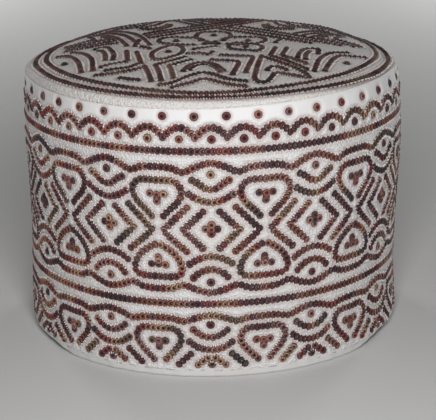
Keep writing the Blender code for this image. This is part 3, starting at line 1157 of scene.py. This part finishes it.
def make_hem():
    """The turned-up edge: flat faces, a rounded fold below and a soft upper edge."""
    azimuth = turns_round(HEM_COLUMNS)
    edge = bend_at(HEM_CURLS, azimuth)
    fold = HEM_CLOTH / 2
    quarter = [math.pi / 2 * step / FOLD_STEPS for step in range(FOLD_STEPS)]
    soft = [math.pi / 2 * step / SOFT_STEPS for step in range(SOFT_STEPS + 1)]
    # Across from the fold's middle, height above its edge, share of the straight part
    section = [(-fold * math.sin(turn), fold - fold * math.cos(turn), 0.0) for turn in quarter]
    section += [(-fold, fold, step / HEM_ROWS) for step in range(HEM_ROWS)]
    section += [(-fold + HEM_SOFT_TOP * (1 - math.cos(turn)),
                 fold + HEM_SOFT_TOP * math.sin(turn), 1.0) for turn in soft]
    section += [(fold - HEM_SOFT_TOP, fold + HEM_SOFT_TOP, 1.0), (fold, fold, 1.0),
                (fold, fold, 0.0)]
    section += [(fold * math.sin(turn), fold - fold * math.cos(turn), 0.0)
                for turn in reversed(quarter[1:])]
    straight = hem_top(azimuth) - HEM_SOFT_TOP - fold - edge
    wobble = sum(ripple.size * np.sin(azimuth * ripple.waves + ripple.start)
                 for ripple in HEM_RIPPLES)
    rows = np.array([band_wall(azimuth, edge + up + straight * share,
                               fold + across - HEM_PROUD + wobble * (across < 0))
                     for across, up, share in section])
    faces = [tube(len(rows), HEM_COLUMNS), bridge((len(rows) - 1) * HEM_COLUMNS, 0, HEM_COLUMNS)]
    piece = mesh_object("hem_fold_cloth", rows.reshape(-1, 3), faces)
    steps_up = np.linalg.norm(np.diff(rows[:, 0], axis=0), axis=1)
    flat_up = np.concatenate(([0.0], np.cumsum(steps_up)))
    flat = np.stack(np.broadcast_arrays(azimuth[None] * KNEE_RADIUS, flat_up[:, None]), -1)
    add_cloth_map(piece, flat.reshape(-1, 2))
    return piece


Step = namedtuple("Step", "radius height well crest")
# An eyelet's section: its crest value carries painted light and shade, its well value the hole's
# painted shade
EYELET_SECTION = (            # from its foot over its crest into its dark well
    Step(0.92, -0.20, 0.0, 0.0),
    Step(1.00, 0.03, 0.0, 0.0),
    Step(0.70, 0.33, 0.0, 1.0),
    Step(0.45, 0.28, 0.15, 0.6),
    Step(0.29, 0.08, 1.0, 0.0),
)


def make_eyelet(tallness):
    """A closed ring of worked thread round a dark well."""
    columns, count = EYELET_SEGMENTS, len(EYELET_SECTION)
    turns = turns_round(columns)
    around = np.stack((np.cos(turns), np.sin(turns), np.zeros(columns)), -1)
    rows = [around * step.radius + (0, 0, step.height) for step in EYELET_SECTION]
    ends = np.array([(0, 0, EYELET_SECTION[-1].height), (0, 0, EYELET_SECTION[0].height)])
    points = np.concatenate(rows + [ends]) * (1.0, 1.0, tallness)
    faces = [tube(count, columns), fan((count - 1) * columns, count * columns, columns),
             flipped(fan(0, count * columns + 1, columns))]
    piece = mesh_object("eyelet", points * EYELET_RADIUS, faces)
    for label, middles in (("well", (1.0, 0.0)), ("crest", (0.0, 0.0))):
        values = [np.full(columns, getattr(step, label)) for step in EYELET_SECTION]
        add_point_values(piece, label, np.concatenate(values + [middles]))
    add_point_values(piece, "around", np.concatenate([around] * count + [np.zeros((2, 3))]))
    return piece


def make_tick():
    """One short white stitch: a slim lozenge along X."""
    long, wide, high = TICK_LENGTH / 2, TICK_WIDTH / 2, TICK_WIDTH * TICK_THICKNESS
    points = np.array([(-long, 0, 0), (0, -wide, 0), (long, 0, 0), (0, wide, 0),
                       (0, 0, high), (0, 0, -high)])
    return mesh_object("tick", points, [fan(0, 4, 4), flipped(fan(0, 5, 4))])


# From the chart to threads

Stroke = namedtuple("Stroke", "points facing closed thread_start")


def strokes_by_piece(chart, on_surface, spot_step, lap):
    """Groups the chart's lines by piece and lays them on the cap."""
    order = np.random.default_rng(THREAD_SEED)
    groups = {}
    for entry in chart:
        closed = isinstance(entry, Line) and entry.closed
        if isinstance(entry, Spot):
            lines = [np.array([place, (place[0] + spot_step, place[1])]) for place in entry.points]
        else:
            bent = rounded if entry.curved else refined
            lines = [bent(np.array(entry.points, float), closed, np.array(lap))]
        for flat in lines:
            across, up = flat.T
            groups.setdefault(entry.piece, []).append(
                Stroke(on_surface(across, up), facing_of(on_surface, across, up), closed,
                       order.uniform(0, THREAD_REACH)))
    return groups


def chain_object(name, strokes):
    """The drawn lines of one piece as bare edges, with the surface's facing at each point."""
    edges, start = [], 0
    for stroke in strokes:
        index = start + np.arange(len(stroke.points))
        edges.append(np.stack((index[:-1], index[1:]), -1))
        if stroke.closed:
            edges.append(np.array([(index[-1], index[0])]))
        start += len(index)
    data = bpy.data.meshes.new(name)
    data.from_pydata(np.concatenate([stroke.points for stroke in strokes]).tolist(),
                     np.concatenate(edges).tolist(), [])
    piece = put_in_scene(bpy.data.objects.new(name, data))
    add_point_values(piece, "facing", np.concatenate([stroke.facing for stroke in strokes]))
    add_point_values(piece, "thread_start",
                     np.concatenate([np.full(len(stroke.points), stroke.thread_start)
                                     for stroke in strokes]))
    return piece


def dress(piece, slot, *replaced):
    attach(piece, BODY)
    if replaced:
        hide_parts(*replaced)


LARGE_DOTS = ("single_dots", "axis_dots", "crown_dots")
SPOT_PIECES = LARGE_DOTS + ("small_clusters",)


def fringe_inputs(panel):
    """Where the white stitches stand on a panel, as inputs of their tree."""
    tall = panel.eyelet_height / BAND.eyelet_height
    narrower = (1.0 - panel.width) * EYELET_RADIUS
    slope = (NOTCH_FRINGE.outer_rise - NOTCH_FRINGE.inner_rise * tall) / TICK_LENGTH
    inputs = {"Lean": panel.lean, "Slope": slope * panel.rise}
    for label, fringe in (("Notch", NOTCH_FRINGE), ("Outer", OUTER_FRINGE)):
        middle_rise = (fringe.inner_rise * tall + fringe.outer_rise) / 2
        inputs[label + " Offset"] = fringe.offset - narrower
        inputs[label + " Lift"] = middle_rise * panel.rise - panel.furrow
    return inputs


def quilt(panel, cloth, lines, cotton, trees):
    """Swells a panel's cloth between its lines and draws it in along them."""
    drawn = chain_object("drawn_lines", [stroke for group in lines.values() for stroke in group])
    settle(cloth, trees["quilt"],
           {"Puff Height": panel.puff, "Furrow Depth": panel.furrow, "Puff Start": PUFF_START,
            "Puff Full": PUFF_FULL, "Drawn Lines": drawn, "Material": cotton})
    remove_object(drawn)
    dress(cloth, panel.slot, panel.node)


def embroider(panel, lines, thread, white, trees):
    """Works every group of lines in eyelets and frays its edges with white stitches."""
    eyelet = make_eyelet(panel.eyelet_height)
    tick = make_tick()
    for index, (name, strokes) in enumerate(sorted(lines.items())):
        chain = chain_object(name, strokes)
        settle(chain, trees["chain"],
               {"Eyelet": eyelet, "Pitch": STITCH_PITCH, "Sink": panel.furrow,
                "Size": panel.width * (DOT_SCALE if name in LARGE_DOTS else 1.0),
                "Tip": 0.0 if name in SPOT_PIECES else EYELET_TIP,
                "Seed": panel.seed + index, "Material": thread})
        dress(chain, panel.slot)
        if name not in SPOT_PIECES:
            fringe = chain_object(name + "_edges", strokes)
            settle(fringe, trees["ticks"],
                   {"Tick": tick, "Pitch": STITCH_PITCH, "Material": white,
                    "Seed": panel.seed + FRINGE_SEED + index, **fringe_inputs(panel)})
            dress(fringe, panel.slot)
    remove_object(eyelet)
    remove_object(tick)


def make_cap():
    groups = {"weave": plain_weave_group(), "seeds": seed_stitch_group(),
              "handling": handling_group(), "dye": dye_group(), "wraps": thread_wrap_group()}
    trees = {"chain": eyelet_chain_tree(), "ticks": edge_tick_tree(), "quilt": quilting_tree()}
    band, crown = make_band(), make_crown()
    band_lines = strokes_by_piece(band_chart(), band_wall, SPOT_LINE / KNEE_RADIUS,
                                  (math.tau, 0.0))
    crown_lines = strokes_by_piece(crown_chart(), crown_at_plan, SPOT_LINE, (0.0, 0.0))
    quilt(BAND, band, band_lines,
          cloth_material(groups, "band_cotton", COTTON, COTTON_SHADE_AND_SOIL, handled=0.42,
                         plain_above=PLAIN_RIM), trees)
    embroider(BAND, band_lines, thread_material(groups, "band_thread", lightness=1.0),
              white_thread_material(groups, "band_white_thread", WHITE_STITCH), trees)
    # The crown's cotton, thread and white stitches are darker copies of the band's: painted shade
    # for its upturned face
    quilt(CROWN, crown, crown_lines,
          cloth_material(groups, "crown_cotton", CROWN_COTTON_SHADED, CROWN_FURROW_SHADE, handled=0.52,
                         plain_above=ALL_STITCHED), trees)
    embroider(CROWN, crown_lines, thread_material(groups, "crown_thread", lightness=0.42),
              white_thread_material(groups, "crown_white_thread", CROWN_STITCH_SHADED), trees)
    hem = make_hem()
    hem.data.materials.append(
        cloth_material(groups, "hem_cotton", HEM_COTTON_SHADED, COTTON_SHADE_AND_SOIL, handled=0.38,
                       plain_above=ALL_PLAIN))
    dress(hem, "hem_cloth", "hem_fold")


# Camera, floor and light

EYE = Vector((-0.0004, -0.8452, 0.3189))
CAMERA_YAW = 0.0025
CAMERA_DOWN = 0.3049
CAMERA_ROLL = -0.0194
SENSOR_WIDTH = 36.0
PHOTO_WIDTH = 436
FOCAL_PIXELS = 1771.17

FLOOR_HALF = 10.0
BACKDROP = 4.0                # the floor turns up into a backdrop at this distance
BACKDROP_BEND = 1.6
BEND_STEPS = 12
PALE_PAPER = (0.66, 0.66, 0.65, 1.0)

Lamp = namedtuple("Lamp", "name place size power")
LAMPS = (
    Lamp("key_light", (0.02, -0.58, 0.32), 0.16, 2.75),
    Lamp("left_back_fill", (-0.65, 1.15, 0.22), 0.3, 7.0),
    Lamp("right_back_fill", (0.65, 1.15, 0.22), 0.3, 7.0),
)
LIT_PLACE = Vector((0.0, 0.0, 0.07))
SKY_COLOUR = (1.0, 0.99, 0.98, 1.0)
SKY_STRENGTH = 0.05


def make_camera():
    """The photograph's own view of the cap, found from the cap's rings and outline."""
    lens = bpy.data.cameras.new("camera")
    lens.sensor_width = SENSOR_WIDTH
    lens.lens = FOCAL_PIXELS / PHOTO_WIDTH * SENSOR_WIDTH
    lens.clip_start = 0.01
    lens.clip_end = 20.0
    camera = put_in_scene(bpy.data.objects.new("camera", lens))
    camera.matrix_world = (Matrix.Translation(EYE) @ Matrix.Rotation(-CAMERA_YAW, 4, "Z")
                           @ Matrix.Rotation(math.pi / 2 - CAMERA_DOWN, 4, "X")
                           @ Matrix.Rotation(CAMERA_ROLL, 4, "Z"))
    bpy.context.scene.camera = camera


def make_floor():
    """A pale floor that turns up into a backdrop in one sweep."""
    turns = np.linspace(0.0, math.pi / 2, BEND_STEPS + 1)
    back = np.concatenate(([-FLOOR_HALF], BACKDROP - BACKDROP_BEND * (1 - np.sin(turns)),
                           [BACKDROP]))
    up = np.concatenate(([0.0], BACKDROP_BEND * (1 - np.cos(turns)), [FLOOR_HALF]))
    points = [(x, y, z) for y, z in zip(back, up) for x in (-FLOOR_HALF, FLOOR_HALF)]
    faces = np.array([(row, row + 1, row + 3, row + 2) for row in range(0, len(points) - 2, 2)])
    floor = mesh_object("studio_floor", points, [faces])
    paper = new_material("pale_paper", {"Base Color": PALE_PAPER, "Roughness": 0.8})[0]
    floor.data.materials.append(paper)


def make_lights():
    """A soft key before the cap, two fills behind it and a faint sky."""
    for lamp in LAMPS:
        light = bpy.data.lights.new(lamp.name, "AREA")
        light.shape = "SQUARE"
        light.size = lamp.size
        light.energy = lamp.power
        holder = put_in_scene(bpy.data.objects.new(lamp.name, light))
        holder.location = lamp.place
        holder.rotation_euler = (LIT_PLACE - holder.location).to_track_quat("-Z", "Y").to_euler()
        holder.visible_camera = False
    world = bpy.data.worlds.new("soft_room")
    world.use_nodes = True
    sky = world.node_tree.nodes["Background"].inputs
    sky["Color"].default_value = SKY_COLOUR
    sky["Strength"].default_value = SKY_STRENGTH
    bpy.context.scene.world = world
    bpy.context.scene.view_settings.view_transform = "Standard"


make_camera()
make_floor()
make_lights()
make_cap()
